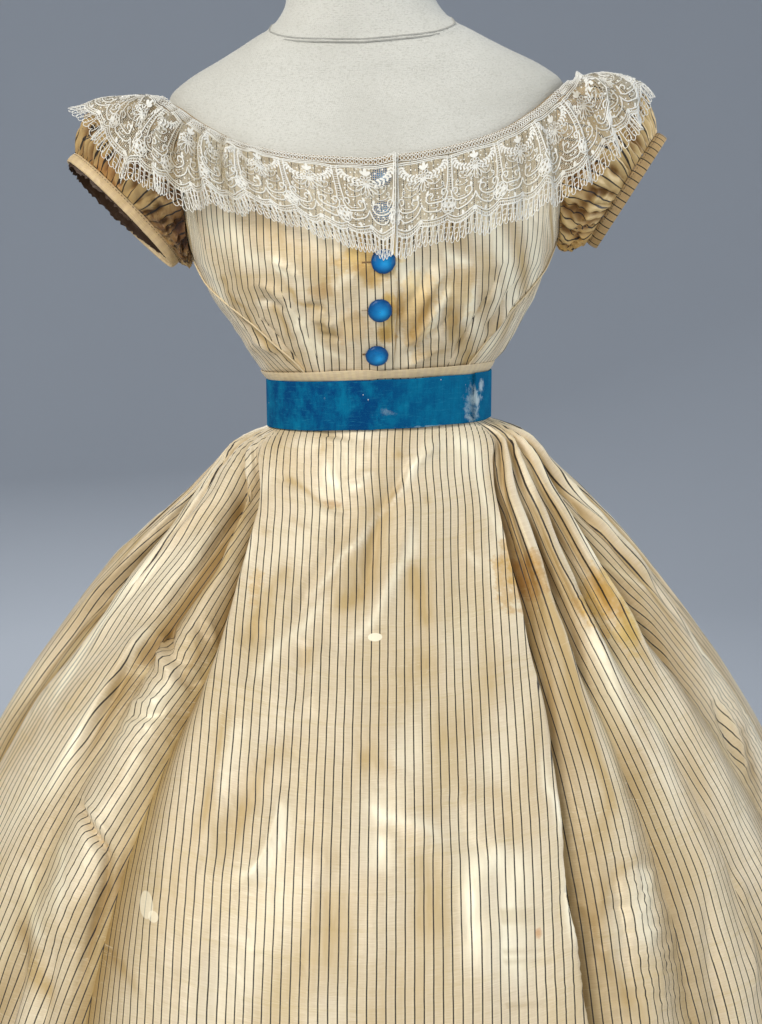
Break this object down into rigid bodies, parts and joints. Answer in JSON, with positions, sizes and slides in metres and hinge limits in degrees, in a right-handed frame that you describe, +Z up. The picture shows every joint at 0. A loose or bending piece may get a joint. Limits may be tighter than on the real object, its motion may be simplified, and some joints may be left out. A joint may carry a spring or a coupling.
{
  "type": "crinoline dress on dress form",
  "caption": "Off-shoulder crinoline dress in striped silk with a lace bertha, ribbon belt and covered buttons, on a limbless dress form with a pole and round foot.",
  "frame": {"origin": "on the floor, at the middle of the stand's round foot", "axes": "+Z up the pole, the dress faces -Y, and the wearer's left side is at +X"},
  "size_m": [1.1453, 1.1368, 1.4774],
  "materials": {
    "striped_silk": "cream silk taffeta with thin dark brown stripes, crisp sheen, age stains",
    "lace": "off-white cotton lace on fine net, matt",
    "velvet_ribbon": "blue velvet ribbon, worn, matt",
    "blue_satin": "blue silk satin over a domed mould, glossy",
    "form_canvas": "off-white canvas drawn tight over a padded body, matt",
    "stand_metal": "black enamel, satin"
  },
  "bodies": {
    "root": {"bodice_front_left": "striped_silk", "bodice_front_right": "striped_silk", "bodice_side_left": "striped_silk", "bodice_side_right": "striped_silk", "bodice_side_back_left": "striped_silk", "bodice_side_back_right": "striped_silk", "bodice_back": "striped_silk", "neck_band": "striped_silk", "sleeve_left": "striped_silk", "sleeve_right": "striped_silk", "sleeve_band_left": "striped_silk", "sleeve_band_right": "striped_silk", "waistband": "striped_silk", "skirt_front": "striped_silk", "skirt_side_front_left": "striped_silk", "skirt_side_front_right": "striped_silk", "skirt_side_back_left": "striped_silk", "skirt_side_back_right": "striped_silk", "skirt_back": "striped_silk", "button_1": "blue_satin", "button_2": "blue_satin", "button_3": "blue_satin", "button_4": "blue_satin", "button_5": "blue_satin", "belt": "velvet_ribbon", "belt_end": "velvet_ribbon", "lace_bertha": "lace", "form_body": "form_canvas", "stand_pole": "stand_metal", "stand_base": "stand_metal"}
  },
  "joints": []
}
